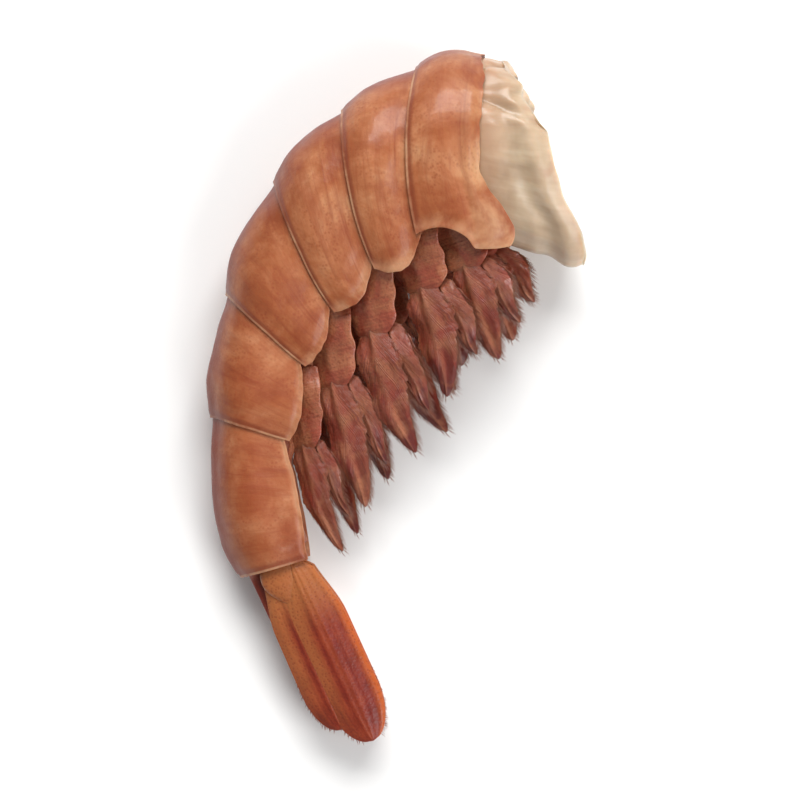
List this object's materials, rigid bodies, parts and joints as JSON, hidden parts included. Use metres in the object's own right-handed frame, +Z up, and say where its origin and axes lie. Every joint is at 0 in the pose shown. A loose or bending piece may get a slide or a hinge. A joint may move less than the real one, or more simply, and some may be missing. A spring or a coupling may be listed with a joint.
{
  "type": "raw headless prawn",
  "caption": "Raw shell-on prawn without its head, lying on its left side, with overlapping shell plates, swimming legs, tail fan and torn flesh at the front",
  "frame": {"origin": "Centre of the bounding box in plan, at the height of the table it lies on", "axes": "+Z up, away from the table and out of the prawn's right flank; +Y along the length of the curled prawn, from the tail fan at -Y to the torn front end at +Y; +X towards the leg side of the body, where the curl is open at the front"},
  "size_m": [0.05, 0.0886, 0.019],
  "materials": {
    "raw_flesh": "wet raw flesh, cream to grey, fibrous where it is torn",
    "shell": "thin wet shell, tan pink with red flecks, half see-through, glossy",
    "legs": "wet soft leaf-like legs, brown red to mauve, satin to glossy",
    "tail_fan": "hard wet shell of the tail fan, dark red with orange ribs and rims, glossy"
  },
  "bodies": {
    "root": {"flesh": "raw_flesh", "shell_plate_1": "shell", "shell_plate_2": "shell", "shell_plate_3": "shell", "shell_plate_4": "shell", "shell_plate_5": "shell", "shell_plate_6": "shell", "leg_right_1": "legs", "leg_right_2": "legs", "leg_right_3": "legs", "leg_right_4": "legs", "leg_right_5": "legs", "leg_left_1": "legs", "leg_left_2": "legs", "leg_left_3": "legs", "leg_left_4": "legs", "leg_left_5": "legs", "tail_spike": "tail_fan", "tail_limb_right": "tail_fan", "tail_limb_left": "tail_fan"}
  },
  "joints": []
}
